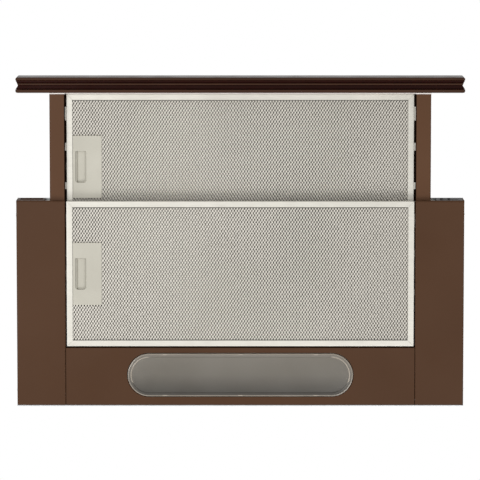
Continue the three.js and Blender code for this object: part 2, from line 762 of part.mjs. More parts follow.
const filterPlaces = [
  ["drawer", DRAWER_FRONT + GAP, DRAWER_Z],
  ["fixed", BOX_FRONT + 1, FIXED_Z],
];
for (const [word, front, bottom] of filterPlaces) {
  add(`${word}_filter_frame`, filterFrame(front, bottom), paleAluminium);
  add(`${word}_filter_mesh`, filterMesh(front, bottom), meshAluminium);
  add(`${word}_filter_handle`, filterHandle(front, bottom), handlePlastic);
  add(`${word}_filter_latch`, filterLatch(front, bottom), handlePlastic);
}

export default hood;
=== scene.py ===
"""The looks of a slide-out range hood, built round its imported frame.

Metres, +Z up, front towards -Y. The hood is seen from below with its drawer pulled out.
"""
import json
import math
import random

import bmesh
import bpy
import numpy as np
from mathutils import Matrix, Vector

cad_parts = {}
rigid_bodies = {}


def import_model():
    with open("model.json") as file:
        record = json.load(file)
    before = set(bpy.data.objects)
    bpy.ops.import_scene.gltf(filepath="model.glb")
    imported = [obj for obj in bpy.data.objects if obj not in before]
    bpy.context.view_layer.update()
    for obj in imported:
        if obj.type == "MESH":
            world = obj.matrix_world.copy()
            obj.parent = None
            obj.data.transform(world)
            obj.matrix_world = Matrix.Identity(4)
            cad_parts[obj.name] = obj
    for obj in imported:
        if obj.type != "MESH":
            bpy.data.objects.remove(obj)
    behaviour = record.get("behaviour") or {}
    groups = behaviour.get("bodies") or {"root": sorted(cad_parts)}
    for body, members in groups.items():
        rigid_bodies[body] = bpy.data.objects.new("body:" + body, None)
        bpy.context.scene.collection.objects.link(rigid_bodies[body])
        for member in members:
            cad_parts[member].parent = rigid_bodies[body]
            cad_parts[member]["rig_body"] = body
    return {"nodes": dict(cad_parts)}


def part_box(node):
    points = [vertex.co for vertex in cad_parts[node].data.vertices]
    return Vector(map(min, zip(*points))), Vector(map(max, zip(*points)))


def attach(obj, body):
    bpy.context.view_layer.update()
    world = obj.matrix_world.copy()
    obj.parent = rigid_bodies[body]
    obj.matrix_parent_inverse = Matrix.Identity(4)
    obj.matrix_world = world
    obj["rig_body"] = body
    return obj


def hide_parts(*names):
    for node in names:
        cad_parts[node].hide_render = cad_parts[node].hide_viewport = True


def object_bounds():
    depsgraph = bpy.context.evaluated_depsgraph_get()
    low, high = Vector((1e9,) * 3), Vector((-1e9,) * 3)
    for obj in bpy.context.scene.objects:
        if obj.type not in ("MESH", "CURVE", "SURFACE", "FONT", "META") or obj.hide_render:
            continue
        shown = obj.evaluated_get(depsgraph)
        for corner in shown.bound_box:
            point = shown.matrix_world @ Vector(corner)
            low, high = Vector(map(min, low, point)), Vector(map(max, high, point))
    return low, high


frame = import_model()
cad_low, cad_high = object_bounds()
nodes = frame["nodes"]
scene = bpy.context.scene
MM = 0.001


# ---------- camera, stage and light ----------
CAMERA_PLACE = (0, -0.497, -4.506)
CAMERA_TILT = 5.79  # degrees off straight up
CAMERA_LENS = 252.7  # on the sensor's width, both in millimetres
SENSOR = 36
CAMERA_SHIFT = (-0.0006, -0.1192)
CAMERA_REACH = 200
FLOOR_Z = -5.2  # below the camera
FLOOR_HALF = 45
FILL = 0.5  # the studio's own light, beside the lamps'
FLOOR_GLOW = 0.32  # keeps the floor pale; the floor throws no light on the hood


def make_camera():
    """Far below the hood, a little in front of it, looking up."""
    data = bpy.data.cameras.new("camera")
    data.sensor_width = SENSOR
    data.lens = CAMERA_LENS
    data.shift_x, data.shift_y = CAMERA_SHIFT
    data.clip_end = CAMERA_REACH
    camera = bpy.data.objects.new("camera", data)
    camera.location = CAMERA_PLACE
    camera.rotation_euler = (math.pi - math.radians(CAMERA_TILT), 0, 0)
    scene.collection.objects.link(camera)
    scene.camera = camera


def make_light(name, place, target, size, power):
    """A lamp with a soft edge, aimed at the target."""
    data = bpy.data.lights.new(name, "AREA")
    data.shape = "RECTANGLE"
    data.size, data.size_y = size
    data.energy = power
    light = bpy.data.objects.new(name, data)
    light.location = place
    aim = Vector(target) - Vector(place)
    light.rotation_euler = aim.to_track_quat("-Z", "Y").to_euler()
    scene.collection.objects.link(light)


def make_world():
    """White where the camera looks past the hood, softer as a light."""
    world = bpy.data.worlds.new("studio")
    world.use_nodes = True
    tree = world.node_tree
    output = tree.nodes["World Output"]
    seen = tree.nodes["Background"]
    seen.inputs["Color"].default_value = (1, 1, 1, 1)
    lighting = add_node(tree, "ShaderNodeBackground")
    lighting.inputs["Color"].default_value = (FILL, FILL, FILL, 1)
    path = add_node(tree, "ShaderNodeLightPath")
    both = add_node(tree, "ShaderNodeMixShader")
    tree.links.new(path.outputs["Is Camera Ray"], both.inputs["Fac"])
    tree.links.new(lighting.outputs["Background"], both.inputs[1])
    tree.links.new(seen.outputs["Background"], both.inputs[2])
    tree.links.new(both.outputs["Shader"], output.inputs["Surface"])
    scene.world = world
    scene.view_settings.view_transform = "Standard"
    scene.view_settings.look = "None"
    scene.view_settings.exposure = 0
    scene.view_settings.gamma = 1


def make_stage():
    """The studio, its pale floor and its lamps."""
    make_world()
    mesh = bpy.data.meshes.new("floor")
    half = FLOOR_HALF
    corners = [(-half, -half), (half, -half), (half, half), (-half, half)]
    mesh.from_pydata([(x, y, FLOOR_Z) for x, y in corners], [], [(0, 1, 2, 3)])
    floor = bpy.data.objects.new("floor", mesh)
    scene.collection.objects.link(floor)
    paint, _, _ = grained(
        "floor_paint", (0.84, 0.84, 0.83), (0.88, 0.88, 0.87), 0.7, patch=0.6,
        Emission_Color=(1, 1, 1, 1), Emission_Strength=FLOOR_GLOW,
    )
    mesh.materials.append(paint)
    floor.visible_diffuse = False
    floor.visible_glossy = False

    middle = (0, 0.05, 0)
    make_light("low_left", (-1.3, -0.3, -2.2), middle, (1.4, 1.4), 36)
    make_light("low_right", (1.0, 1.5, -2.1), middle, (1.2, 1.2), 31)
    make_light("overhead", (0.2, 1.0, 2.8), middle, (2.4, 1.6), 44)
    make_light("high_front", (-1.7, -2.6, 1.5), middle, (1.6, 1.6), 26)
    make_light("high_rear", (2.2, 2.4, 1.5), middle, (1.6, 1.6), 30)


# ---------- materials ----------
def add_node(tree, kind, **settings):
    """A shader node with its settings."""
    made = tree.nodes.new(kind)
    for key, value in settings.items():
        setattr(made, key, value)
    return made


def place_of(tree, stretch=(1, 1, 1)):
    """Object coordinates, stretched: larger numbers make the pattern finer along that axis."""
    where = add_node(tree, "ShaderNodeTexCoord")
    scale = add_node(tree, "ShaderNodeMapping")
    scale.inputs["Scale"].default_value = stretch
    tree.links.new(where.outputs["Object"], scale.inputs["Vector"])
    return scale.outputs["Vector"]


def noise(tree, scale, detail, stretch=(1, 1, 1)):
    """A cloudy value over the surface, from 0 to 1."""
    made = add_node(tree, "ShaderNodeTexNoise")
    made.inputs["Scale"].default_value = scale
    made.inputs["Detail"].default_value = detail
    tree.links.new(place_of(tree, stretch), made.inputs["Vector"])
    return made.outputs["Fac"]


def ramp(tree, value, stops):
    """Colours, or numbers as greys, along a value; stops are (place, colour or number)."""
    made = add_node(tree, "ShaderNodeValToRGB")
    track = made.color_ramp.elements
    while len(track) < len(stops):
        track.new(0.5)
    for element, (place, colour) in zip(track, stops):
        element.position = place
        grey = not hasattr(colour, "__len__")
        element.color = (colour,) * 3 + (1,) if grey else (*colour, 1)
    tree.links.new(value, made.inputs["Fac"])
    return made.outputs["Color"]


def mixed(tree, share, first, second, blend="MIX"):
    """Two colour outputs, mixed by a fixed share."""
    made = add_node(tree, "ShaderNodeMix", data_type="RGBA", blend_type=blend)
    made.inputs["Factor"].default_value = share
    tree.links.new(first, made.inputs[6])
    tree.links.new(second, made.inputs[7])
    return made.outputs[2]


def shade_base(tree, shader, factor):
    """Multiplies the shader's colour by a factor that varies over the surface."""
    base = shader.inputs["Base Color"]
    tree.links.new(mixed(tree, 1.0, base.links[0].from_socket, factor, "MULTIPLY"), base)


def bumped(tree, shader, height, distance):
    """Adds a height to the shader's normal, on top of any bump that it has."""
    made = add_node(tree, "ShaderNodeBump")
    made.inputs["Distance"].default_value = distance
    made.inputs["Strength"].default_value = 1.0
    tree.links.new(height, made.inputs["Height"])
    if shader.inputs["Normal"].links:
        tree.links.new(shader.inputs["Normal"].links[0].from_socket, made.inputs["Normal"])
    tree.links.new(made.outputs["Normal"], shader.inputs["Normal"])


def grained(name, dark, light, roughness, patch, grain=0, depth=0.0, spread=0.06, metallic=0.0, **inputs):
    """A finish with broad patches between two colours and a fine surface grain."""
    material = bpy.data.materials.new(name)
    material.use_nodes = True
    tree = material.node_tree
    shader = tree.nodes["Principled BSDF"]
    shader.inputs["Metallic"].default_value = metallic
    for key, value in inputs.items():
        shader.inputs[key.replace("_", " ")].default_value = value
    broad = noise(tree, patch, 4)
    colour = ramp(tree, broad, [(0.32, dark), (0.68, light)])
    tree.links.new(colour, shader.inputs["Base Color"])
    dull = ramp(tree, noise(tree, patch * 3.7, 5), [(0.3, roughness - spread), (0.7, roughness + spread)])
    tree.links.new(dull, shader.inputs["Roughness"])
    if grain:
        bumped(tree, shader, noise(tree, grain, 2), depth)
    return material, tree, shader


def brown_paint(name="brown_paint", lift=1.0):
    """Baked enamel on sheet steel: satin, with a faint orange peel and broad lighter patches."""
    dark = [lift * v for v in (0.066, 0.031, 0.0155)]
    light = [lift * v for v in (0.077, 0.037, 0.019)]
    made, tree, shader = grained(
        name, dark, light, 0.4, patch=5, grain=900, depth=0.00004, Specular_IOR_Level=0.1
    )
    fleck = ramp(tree, noise(tree, 1500, 1), [(0.35, 0.93), (0.65, 1.07)])
    shade_base(tree, shader, fleck)
    bumped(tree, shader, noise(tree, 260, 2), 0.00002)
    return made


def brown_gloss(name="brown_gloss", dark=(0.045, 0.021, 0.012), light=(0.053, 0.025, 0.015)):
    """A dark moulded front with a deep gloss and a trace of flow along it."""
    made, tree, shader = grained(
        name, dark, light, 0.2, patch=9, grain=500, depth=0.00002, Specular_IOR_Level=0.12,
        Coat_Weight=0.04, Coat_Roughness=0.08,
    )
    flow = ramp(tree, noise(tree, 40, 3, stretch=(0.15, 3, 3)), [(0.35, 0.9), (0.65, 1.1)])
    shade_base(tree, shader, flow)
    return made


def galvanised():
    """Zinc-coated sheet: flat crystals of slightly different greys and a dull film."""
    made, tree, shader = grained(
        "galvanised_steel", (0.47, 0.48, 0.49), (0.53, 0.54, 0.55), 0.46, patch=7, grain=1200, depth=0.00002,
        metallic=0.75,
    )
    crystal = add_node(tree, "ShaderNodeTexVoronoi")
    crystal.inputs["Scale"].default_value = 150
    tree.links.new(place_of(tree), crystal.inputs["Vector"])
    grey = add_node(tree, "ShaderNodeSeparateColor")
    tree.links.new(crystal.outputs["Color"], grey.inputs["Color"])
    shade = ramp(tree, grey.outputs["Red"], [(0.0, 0.93), (1.0, 1.06)])
    shade_base(tree, shader, shade)
    dull = ramp(tree, grey.outputs["Green"], [(0.0, 0.41), (1.0, 0.51)])
    roughness = shader.inputs["Roughness"]
    tree.links.new(mixed(tree, 0.6, roughness.links[0].from_socket, dull), roughness)
    return made


def aluminium_strip():
    """Folded aluminium strip: pale and satin, faintly drawn along its length."""
    made, tree, shader = grained(
        "pale_aluminium", (0.61, 0.588, 0.525), (0.66, 0.638, 0.573), 0.46, patch=14, grain=1600,
        depth=0.00002, metallic=0.35,
    )
    drawn = ramp(tree, noise(tree, 60, 4, stretch=(1, 12, 12)), [(0.3, 0.95), (0.7, 1.04)])
    shade_base(tree, shader, drawn)
    bumped(tree, shader, noise(tree, 300, 2, stretch=(0.2, 3, 3)), 0.00002)
    return made


def mesh_aluminium(name="mesh_aluminium", lift=1.0):
    """Slit and stretched foil: bright satin strands with duller spots; a lift below 1 gives darker copies,
    painted shade for the layers behind.
    """
    dark = [lift * v for v in (0.80, 0.76, 0.68)]
    light = [lift * v for v in (0.84, 0.80, 0.72)]
    made, tree, shader = grained(name, dark, light, 0.4, patch=6, spread=0.02, metallic=0.25)
    spot = ramp(tree, noise(tree, 1500, 2), [(0.4, 0.93), (0.62, 1.05)])
    shade_base(tree, shader, spot)
    bumped(tree, shader, noise(tree, 1800, 2), 0.00003)
    return made


def moulded(name, dark, light, roughness, **inputs):
    """Moulded plastic with the fine grain of a spark-eroded tool."""
    made, tree, shader = grained(
        name, dark, light, roughness, patch=18, grain=1400, depth=0.00005, spread=0.05, **inputs
    )
    fine = ramp(tree, noise(tree, 2600, 1), [(0.4, 0.96), (0.6, 1.04)])
    shade_base(tree, shader, fine)
    return made


def lens_plastic():
    """Frosted grey plastic that lets the lamps' light through, its colour darkened towards the rear as
    painted shade.
    """
    made, tree, shader = grained(
        "lens_plastic", (0.29, 0.262, 0.22), (0.32, 0.292, 0.25), 0.34, patch=9, grain=700, depth=0.00006,
        Transmission_Weight=0.5, IOR=1.46,
    )
    low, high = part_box("lens")
    where = add_node(tree, "ShaderNodeSeparateXYZ")
    tree.links.new(place_of(tree), where.inputs["Vector"])
    across = add_node(tree, "ShaderNodeMapRange")
    across.inputs["From Min"].default_value = low.y
    across.inputs["From Max"].default_value = high.y
    tree.links.new(where.outputs["Y"], across.inputs["Value"])
    # painted shade: the colour falls to about a third from the cover's front edge to its rear
    rear_painted_shade = ramp(tree, across.outputs["Result"], [(0.05, 1.0), (0.5, 0.82), (0.9, 0.36)])
    shade_base(tree, shader, rear_painted_shade)
    bumped(tree, shader, noise(tree, 130, 2), 0.00006)
    return made


def lens_rim(name, lift):
    """The same plastic, thicker and polished, in the cover's rim; a larger lift makes a lighter copy, used on
    the step as a painted highlight.
    """
    dark = [lift * v for v in (0.25, 0.22, 0.18)]
    light = [lift * v for v in (0.31, 0.27, 0.225)]
    made, _, _ = grained(
        name, dark, light, 0.2, patch=24, grain=900, depth=0.00002, Transmission_Weight=0.2, IOR=1.46
    )
    return made


def cream_paint():
    """The drawer's pale cross bar."""
    made, _, _ = grained(
        "cream_paint", (0.82, 0.76, 0.73), (0.88, 0.83, 0.79), 0.5, patch=20, grain=900, depth=0.00002
    )
    return made


def bulb_glass():
    """The bulbs' opal glass."""
    made, _, _ = grained(
        "bulb_glass", (0.86, 0.85, 0.82), (0.93, 0.92, 0.9), 0.22, patch=30, grain=600, depth=0.00001,
        Transmission_Weight=0.7, IOR=1.45,
    )
    return made


def bright_steel():
    """Plated steel with a fine grain."""
    made, _, _ = grained(
        "bright_steel", (0.5, 0.5, 0.49), (0.62, 0.62, 0.61), 0.26, patch=40, grain=2500, depth=0.00001,
        metallic=1.0,
    )
    return made


def white_enamel():
    """The lamp tray's white, slightly glossy coating."""
    made, _, _ = grained(
        "white_enamel", (0.66, 0.65, 0.62), (0.74, 0.73, 0.70), 0.3, patch=6, grain=400, depth=0.00003,
        Coat_Weight=0.3,
    )
    return made


finishes = {
    "brown_paint": brown_paint(),
    "brown_gloss": brown_gloss(),
    "galvanised_steel": galvanised(),
    "pale_aluminium": aluminium_strip(),
    "mesh_aluminium": mesh_aluminium(),
    "handle_plastic": moulded("handle_plastic", (0.44, 0.42, 0.355), (0.49, 0.47, 0.40), 0.55),
    "black_plastic": moulded("black_plastic", (0.016, 0.014, 0.013), (0.026, 0.023, 0.021), 0.42),
    "blower_plastic": moulded("blower_plastic", (0.07, 0.07, 0.07), (0.1, 0.1, 0.1), 0.5),
    "nylon": moulded("nylon", (0.62, 0.60, 0.54), (0.70, 0.68, 0.62), 0.45, Subsurface_Weight=0.1),
    "lens_plastic": lens_plastic(),
    "bulb_glass": bulb_glass(),
    "bright_steel": bright_steel(),
    "white_enamel": white_enamel(),
    "white_plastic": moulded("white_plastic", (0.70, 0.69, 0.65), (0.78, 0.77, 0.73), 0.45),
}
rail_finish = brown_paint("rail_paint", 1.3)
# the inner mesh's aluminium at half brightness: painted shade behind the outer layer
inner_mesh_painted_shade = mesh_aluminium("inner_mesh_aluminium_painted_shade", 0.5)
# the foil's aluminium at a quarter brightness: painted shade behind both mesh layers
wadding_painted_shade = mesh_aluminium("wadding_aluminium_painted_shade", 0.25)


# ---------- mesh helpers ----------
def finish_piece(name, source, body, slot, stands_for=(), smooth=32, material=None, flat_faces=True):
    """A bmesh or mesh as a piece: smooth where it curves, riding on its body, with its finish.

    flat_faces keeps broad faces flat beside rounded edges."""
    if isinstance(source, bmesh.types.BMesh):
        mesh = bpy.data.meshes.new(name)
        source.normal_update()
        source.to_mesh(mesh)
        source.free()
    else:
        mesh = source
    mesh.materials.clear()
    mesh.materials.append(material or finishes[slot])
    mesh.shade_smooth()
    mesh.set_sharp_from_angle(angle=math.radians(smooth))
    made = bpy.data.objects.new(name, mesh)
    scene.collection.objects.link(made)
    if flat_faces:
        normals = made.modifiers.new("normals", "WEIGHTED_NORMAL")
        normals.keep_sharp = True
    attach(made, body)
    if stands_for:
        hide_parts(*stands_for)
    return made


def body_of(node):
    """The name of the body that a CAD node belongs to."""
    return nodes[node]["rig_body"]


def refined(node, slot, material=None):
    """A CAD node with its edges rounded as folded sheet or a moulding has them."""
    shape = bmesh.new()
    shape.from_mesh(nodes[node].data)
    bmesh.ops.remove_doubles(shape, verts=shape.verts, dist=0.002 * MM)
    flat, sharp = math.radians(1), math.radians(28)
    bmesh.ops.dissolve_limit(shape, angle_limit=flat, verts=shape.verts, edges=shape.edges)
    edges = [e for e in shape.edges if e.is_manifold and e.calc_face_angle(0) > sharp]
    bmesh.ops.bevel(
        shape, geom=edges, offset=0.3 * MM, segments=2, profile=0.5, affect="EDGES", clamp_overlap=True
    )
    finish_piece(node + "_skin", shape, body_of(node), slot, (node,), material=material)


def cuboid(low, high):
    """A box between two corners."""
    low, high = Vector(low), Vector(high)
    part = bmesh.new()
    stretch = Matrix.Diagonal((*(high - low), 1))
    bmesh.ops.create_cube(part, size=1, matrix=Matrix.Translation((low + high) / 2) @ stretch)
    return part


def add_block(shape, low, high, width, steps=2):
    """Adds a box with rounded edges."""
    part = cuboid(low, high)
    bmesh.ops.bevel(part, geom=part.edges[:], offset=width, segments=steps, profile=0.5, affect="EDGES")
    add_part(shape, part)


def add_part(shape, part, matrix=None):
    """Adds one bmesh to another and frees it."""
    if matrix is not None:
        bmesh.ops.transform(part, matrix=matrix, verts=part.verts)
    mesh = bpy.data.meshes.new("part")
    part.to_mesh(mesh)
    part.free()
    shape.from_mesh(mesh)
    bpy.data.meshes.remove(mesh)


def add_plate(shape, outlines, z0, z1, width, matrix=None, steps=2):
    """Adds a plate with rounded edges from closed outlines in X and Y; inner ones are holes."""
    curve = bpy.data.curves.new("plate", "CURVE")
    curve.dimensions = "2D"
    curve.fill_mode = "BOTH"
    curve.extrude = (z1 - z0) / 2 - width
    curve.bevel_depth = width
    curve.bevel_resolution = steps
    curve.offset = -width
    for points in outlines:
        line = curve.splines.new("POLY")
        line.points.add(len(points) - 1)
        for point, (x, y) in zip(line.points, points):
            point.co = (x, y, 0, 1)
        line.use_cyclic_u = True
    holder = bpy.data.objects.new("plate", curve)
    mesh = bpy.data.meshes.new_from_object(holder)
    part = bmesh.new()
    part.from_mesh(mesh)
    bmesh.ops.remove_doubles(part, verts=part.verts, dist=0.001 * MM)
    bpy.data.objects.remove(holder)
    bpy.data.curves.remove(curve)
    bpy.data.meshes.remove(mesh)
    move = Matrix.Translation((0, 0, (z0 + z1) / 2))
    add_part(shape, part, move if matrix is None else matrix @ move)


def rectangle(x0, x1, y0, y1, radius, rear_radius=None, steps=6):
    """A rectangle's outline with rounded corners, its rear ones perhaps rounder."""
    front, rear = radius, rear_radius or radius
    corners = [
        (x1 - front, y0 + front, front), (x1 - rear, y1 - rear, rear),
        (x0 + rear, y1 - rear, rear), (x0 + front, y0 + front, front),
    ]
    points = []
    for turn, (cx, cy, r) in enumerate(corners):
        for i in range(steps + 1):
            angle = math.pi / 2 * (turn - 1 + i / steps)
            points.append((cx + r * math.cos(angle), cy + r * math.sin(angle)))
    return points


def folded(path, sheet, radius):
    """The closed outline of a bent strip, from the line down the middle of its thickness."""
    steps = 5
    corners = [Vector(p) for p in path]
    line = [corners[0]]
    for before, corner, after in zip(corners, corners[1:], corners[2:]):
        back, ahead = (before - corner).normalized(), (after - corner).normalized()
        half = back.angle(ahead) / 2
        centre = corner + (back + ahead).normalized() * (radius / math.sin(half))
        start = corner + back * (radius / math.tan(half)) - centre
        end = corner + ahead * (radius / math.tan(half)) - centre
        swing = math.atan2(start.x * end.y - start.y * end.x, start.dot(end))
        for i in range(steps + 1):
            turn = swing * i / steps
            c, s = math.cos(turn), math.sin(turn)
            line.append(centre + Vector((c * start.x - s * start.y, s * start.x + c * start.y)))
    line.append(corners[-1])
    left, right = [], []
    for i, point in enumerate(line):
        along = (line[min(i + 1, len(line) - 1)] - line[max(i - 1, 0)]).normalized()
        across = Vector((-along.y, along.x)) * sheet / 2
        left.append(point + across)
        right.append(point - across)
    return left + right[::-1]


def add_swept(shape, section, y0, y1, mirror=1):
    """Adds an outline in X and Z drawn out along Y."""
    add_part(shape, skinned([[(mirror * x, y, z) for x, z in section] for y in (y0, y1)]))


def cut_box(shape, low, high):
    """Cuts a box out of a solid and gives the mesh that is left."""
    solids = []
    for source in (shape, cuboid(low, high)):
        mesh = bpy.data.meshes.new("solid")
        source.to_mesh(mesh)
        source.free()
        solids.append(bpy.data.objects.new("solid", mesh))
        scene.collection.objects.link(solids[-1])
    tool = solids[0].modifiers.new("cut", "BOOLEAN")
    tool.object = solids[1]
    tool.operation = "DIFFERENCE"
    tool.solver = "EXACT"
    graph = bpy.context.evaluated_depsgraph_get()
    made = bpy.data.meshes.new_from_object(solids[0].evaluated_get(graph))
    for solid in solids:
        bpy.data.objects.remove(solid)
    return made


def circle(radius, steps):
    """A circle's outline round the origin."""
    angles = [2 * math.pi * i / steps for i in range(steps)]
    return [(radius * math.cos(a), radius * math.sin(a)) for a in angles]


def stadium(length, width, y, steps):
    """A rounded slot's outline, longer across X, counter-clockwise."""
    r = width / 2
    straight = length / 2 - r
    points = []
    for side in (1, -1):
        for i in range(steps + 1):
            angle = -math.pi / 2 * side + math.pi * i / steps
            points.append((side * straight + r * math.cos(angle), y + r * math.sin(angle)))
    return points


def skinned(rings):
    """A solid through rings of points, each as long as the others, with a cap at either end."""
    shape = bmesh.new()
    made = [[shape.verts.new(p) for p in ring] for ring in rings]
    for first, second in zip(made, made[1:]):
        for i in range(len(first)):
            j = (i + 1) % len(first)
            shape.faces.new((first[i], first[j], second[j], second[i]))
    shape.faces.new(reversed(made[0]))
    shape.faces.new(made[-1])
    bmesh.ops.recalc_face_normals(shape, faces=shape.faces)
    return shape


def add_turned(shape, profile, matrix, steps):
    """Adds a profile of (radius, height) turned round Z, from the axis and back to it."""
    part = bmesh.new()
    rings = []
    for radius, height in profile:
        if radius < 1e-9:
            rings.append([part.verts.new((0, 0, height))])
        else:
            rings.append([part.verts.new((x, y, height)) for x, y in circle(radius, steps)])
    for low, high in zip(rings, rings[1:]):
        for i in range(steps):
            j = (i + 1) % steps
            corners = [low[i % len(low)], low[j % len(low)], high[j % len(high)], high[i % len(high)]]
            unique = list(dict.fromkeys(corners))
            if len(unique) > 2:
                part.faces.new(unique)
    bmesh.ops.recalc_face_normals(part, faces=part.faces)
    add_part(shape, part, matrix)


def facing(place, direction):
    """A matrix that stands something made along +Z at a place, pointing in a direction."""
    turn = Vector(direction).to_track_quat("Z", "Y").to_matrix().to_4x4()
    return Matrix.Translation(place) @ turn


def add_screw(shape, place, direction, r, turn):
    """A pan-head screw of radius r with a cross recess."""
    stand = facing(place, direction) @ Matrix.Rotation(turn, 4, "Z")
    bottom, rim, top = -0.4 * MM, 0.3 * MM, 0.9 * MM
    washer = [(0, bottom), (r * 1.02, bottom), (r * 1.02, rim), (r * 0.98, top), (0, top)]
    add_turned(shape, washer, stand, 24)
    arm, half = r * 0.58, r * 0.13
    cross = [
        (half, -arm), (half, -half), (arm, -half), (arm, half), (half, half), (half, arm),
        (-half, arm), (-half, half), (-arm, half), (-arm, -half), (-half, -half), (-half, -arm),
    ]
    add_plate(shape, [circle(r * 0.93, 24), cross[::-1]], 0.7 * MM, 2.0 * MM, 0.25 * MM, stand)


def add_rivet(shape, place, direction, r):
    """A blind rivet's domed head of radius r with its hollow middle."""
    dome = [
        (0, 0.25 * MM), (r * 0.3, 0.25 * MM), (r * 0.36, 0.8 * MM), (r * 0.75, 0.62 * MM),
        (r, 0.1 * MM), (r, -0.2 * MM), (0, -0.2 * MM),
    ]
    add_turned(shape, dome, facing(place, direction), 20)


# ---------- the grease filters ----------
BORDER = 8 * MM
TABS = ((17, 18.5), (65.5, 10.5), (118.5, 9))  # each hook tab's start and length along Y, in mm
CELL = (3.865 * MM, 6.06 * MM)  # an opening's pitch across X and along Y
STRAND_RISE = 0.14 * MM  # how far a strand rises and falls between its bonds
TILT = 0.4 * MM  # how much higher one edge of a strand lies than the other
POCKET = (14.4 * MM, 42 * MM)  # the finger pocket in a filter's handle


def strands_along(xs, stations, lateral, rise, section):
    """Points and faces of strands along Y, each at its own x, moved by lateral and rise at each station."""
    x = xs[:, None, None] + lateral[:, :, None] + section[None, None, :, 0]
    z = rise[:, :, None] + section[None, None, :, 1]
    y = np.broadcast_to(stations[None, :, None], x.shape)
    points = np.stack([x, y, z], axis=-1).reshape(-1, 3)
    index = np.arange(len(points)).reshape(x.shape)
    a = index[:, :-1, :]
    b = index[:, 1:, :]
    quads = np.stack([a, np.roll(a, -1, 2), np.roll(b, -1, 2), b], axis=-1).reshape(-1, 4)
    return points, quads


def expanded_sheet(name, body, low, high, notch, cell, width, z, material, stands_for=()):
    """Slit and stretched sheet: zigzag strands along Y that touch their neighbours in turn."""
    half_cell = cell[0] / 2
    overlap = 0.03 * MM
    swing = (half_cell - width) / 2 + overlap
    bond = 0.1 * cell[1]  # half the length over which neighbours touch
    count = int((high.x - low.x) / half_cell)
    first_x = (low.x + high.x - (count - 1) * half_cell) / 2
    periods = np.arange(math.ceil(low.y / (cell[1] / 2)), math.floor(high.y / (cell[1] / 2)) + 1)
    section = np.array([
        (-width / 2, -TILT / 2), (width / 2, TILT / 2), (0.1 * width, TILT / 2 + 0.34 * width),
    ])
    points, faces = np.zeros((0, 3)), np.zeros((0, 4), int)
    notch_x, notch_y0, notch_y1 = notch
    for beside in (False, True):
        for parity in (0, 1):
            xs = np.array([first_x + k * half_cell for k in range(count) if k % 2 == parity])
            xs = xs[xs < notch_x] if beside else xs[xs >= notch_x]
            runs = [(low.y, notch_y0), (notch_y1, high.y)] if beside else [(low.y, high.y)]
            for y0, y1 in runs:
                inside = periods[(periods * cell[1] / 2 > y0 - bond) & (periods * cell[1] / 2 < y1 + bond)]
                middle = inside * cell[1] / 2
                stations = np.clip(np.sort(np.concatenate([middle - bond, middle + bond])), y0, y1)
                side = np.repeat(np.where((inside + parity) % 2 == 0, 1.0, -1.0), 2)
                apart = np.concatenate([[True], np.diff(stations) > 0.001 * MM])
                stations, side = stations[apart], side[apart]
                lateral = np.broadcast_to(side * swing, (len(xs), len(stations)))
                rise = np.broadcast_to(z - side * STRAND_RISE, (len(xs), len(stations)))
                more, quads = strands_along(xs, stations, lateral, rise, section)
                faces = np.concatenate([faces, quads + len(points)])
                points = np.concatenate([points, more])
    mesh = bpy.data.meshes.new(name)
    mesh.from_pydata(points.tolist(), [], faces.tolist())
    mesh.update()
    return finish_piece(name, mesh, body, "mesh_aluminium", stands_for, 20, material, flat_faces=False)


def filter_frame(name, node):
    """Folded channel strips mitred at the corners, with hook tabs at both ends."""
    low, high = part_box(node)
    body = body_of(node)
    mesh_low, mesh_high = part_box(node.replace("frame", "mesh"))
    x0, x1 = mesh_low.x - 0.3 * MM - BORDER, mesh_high.x + 0.3 * MM + BORDER
    y0, y1 = low.y, high.y
    z0, z1 = low.z, high.z
    depth = z1 - z0
    sheet, r = 0.8 * MM, 0.9 * MM
    section = [
        (BORDER, 0.25 * MM), (BORDER - 0.3 * MM, 0), (r, 0), (r * 0.3, r * 0.3), (0, r), (0, depth - r),
        (r * 0.3, depth - r * 0.3), (r, depth), (BORDER, depth), (BORDER, depth - sheet),
        (r + sheet * 0.4, depth - sheet), (sheet, depth - sheet - r * 0.4), (sheet, sheet + r * 0.4),
        (r + sheet * 0.4, sheet), (BORDER - 0.2 * MM, sheet), (BORDER, 0.55 * MM),
    ]
    shape = bmesh.new()
    gap = 0.12 * MM
    for y, inwards in ((y0, 1), (y1, -1)):
        add_part(shape, skinned([
            [(end + way * (u + gap), y + inwards * u, z0 + rise) for u, rise in section]
            for end, way in ((x0, 1), (x1, -1))
        ]))
    for x, inwards in ((x0, 1), (x1, -1)):
        add_part(shape, skinned([
            [(x + inwards * u, end + way * (u + gap), z0 + rise) for u, rise in section]
            for end, way in ((y0, 1), (y1, -1))
        ]))
    if body == "drawer":
        reaches, lift = (2.1 * MM, 2.2 * MM), 1 * MM
    else:
        reaches, lift = (0.9 * MM, 1.5 * MM), 6.5 * MM
    z = z0 + lift
    for side, edge, reach in zip((-1, 1), (x0, x1), reaches):
        inner, outer = sorted((edge - side * 0.4 * MM, edge + side * reach))
        for start, length in TABS:
            y = y0 + start * MM
            add_block(shape, (inner, y, z), (outer, y + length * MM, z + 1.2 * MM), 0.25 * MM)
    finish_piece(name, shape, body, "pale_aluminium", (node,), 30)


def filter_handle(name, node):
    """A flush moulded plate with a finger pocket, rounder at its rear end."""
    low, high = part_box(node)
    middle = (low.y + high.y) / 2
    left, half = low.x + 3.4 * MM, POCKET[1] / 2
    shape = bmesh.new()
    outer = rectangle(low.x, high.x, low.y, high.y, 1.0 * MM)
    pocket = rectangle(left, left + POCKET[0], middle - half, middle + half, 0.9 * MM, 3.4 * MM)
    add_plate(shape, [outer, pocket[::-1]], low.z, high.z, 0.45 * MM, steps=3)
    finish_piece(name, shape, body_of(node), "handle_plastic", (node,), 40)


